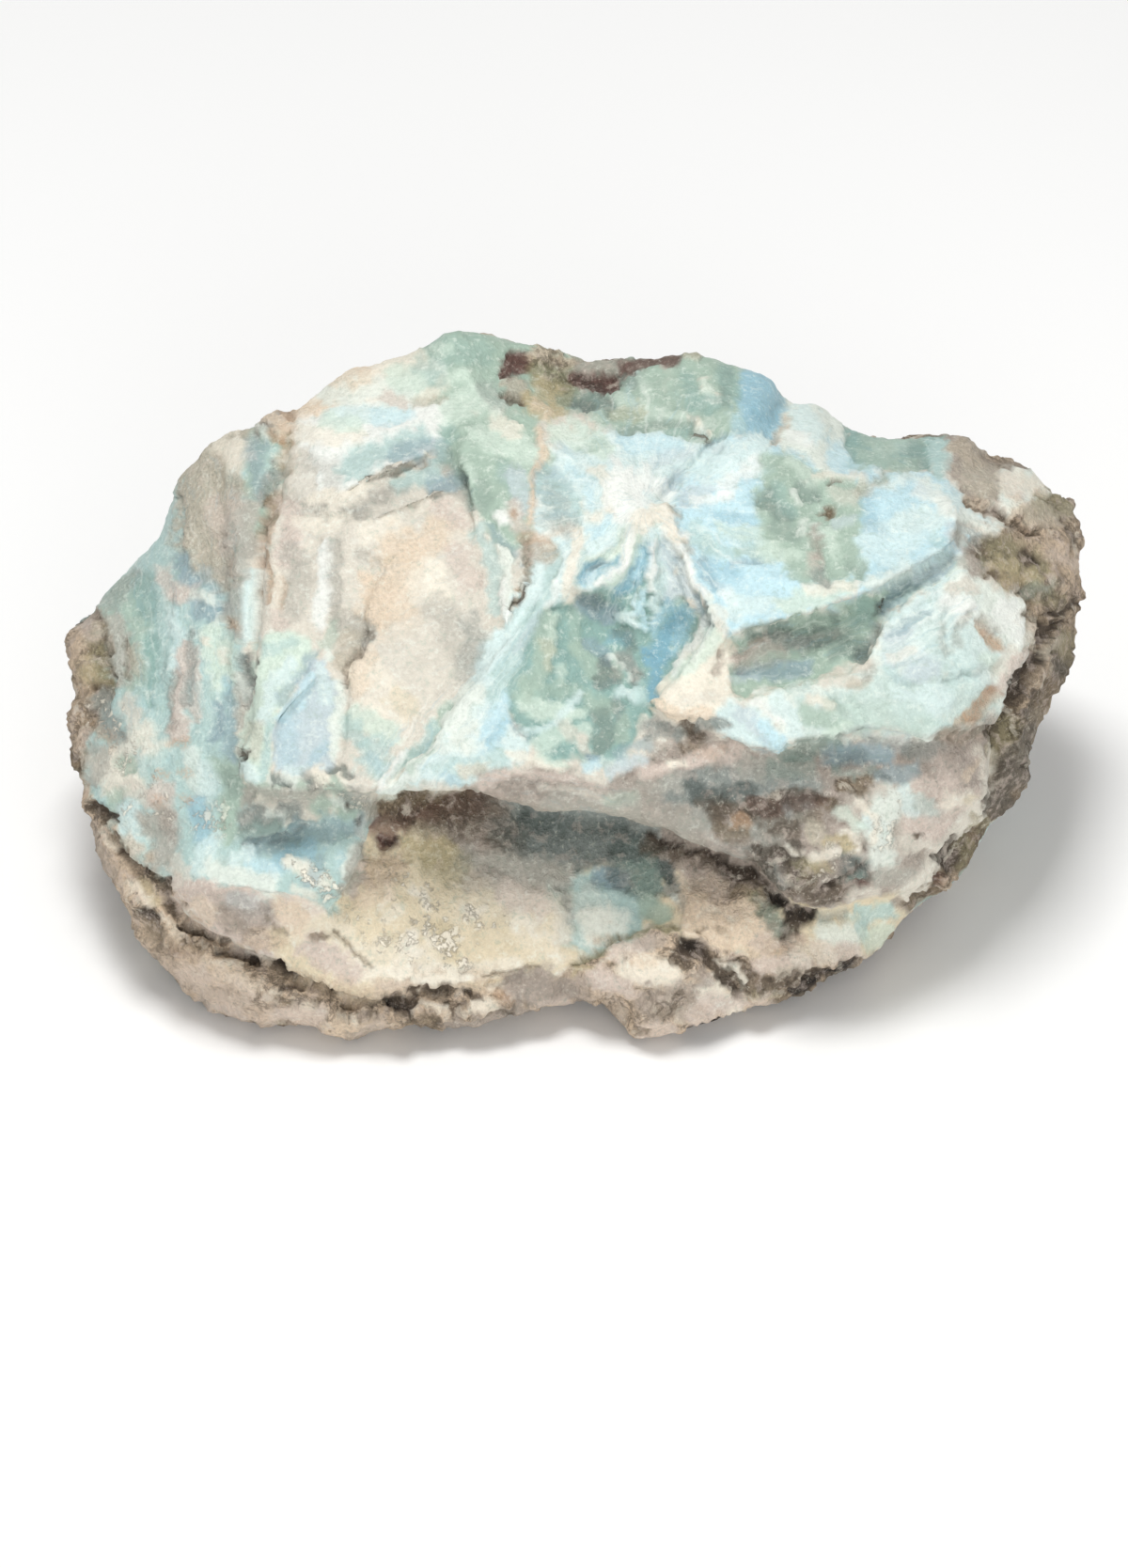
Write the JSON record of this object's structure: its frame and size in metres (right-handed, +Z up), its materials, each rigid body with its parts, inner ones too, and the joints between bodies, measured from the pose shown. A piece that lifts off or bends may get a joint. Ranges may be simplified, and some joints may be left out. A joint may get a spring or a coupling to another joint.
{
  "type": "rough larimar",
  "caption": "Broken piece of rough larimar, pale blue pectolite still grown to its brown host rock, resting on a flat break.",
  "frame": {"origin": "on the flat break that the stone rests on, under the middle of the stone", "axes": "+X along the stone's length, to the viewer's right; +Z up; the broken blue face looks along -Y and up"},
  "size_m": [0.0979, 0.0626, 0.0449],
  "materials": {
    "larimar": "freshly broken pale blue stone with brown host rock"
  },
  "bodies": {
    "root": {"rough_larimar": "larimar"}
  },
  "joints": []
}
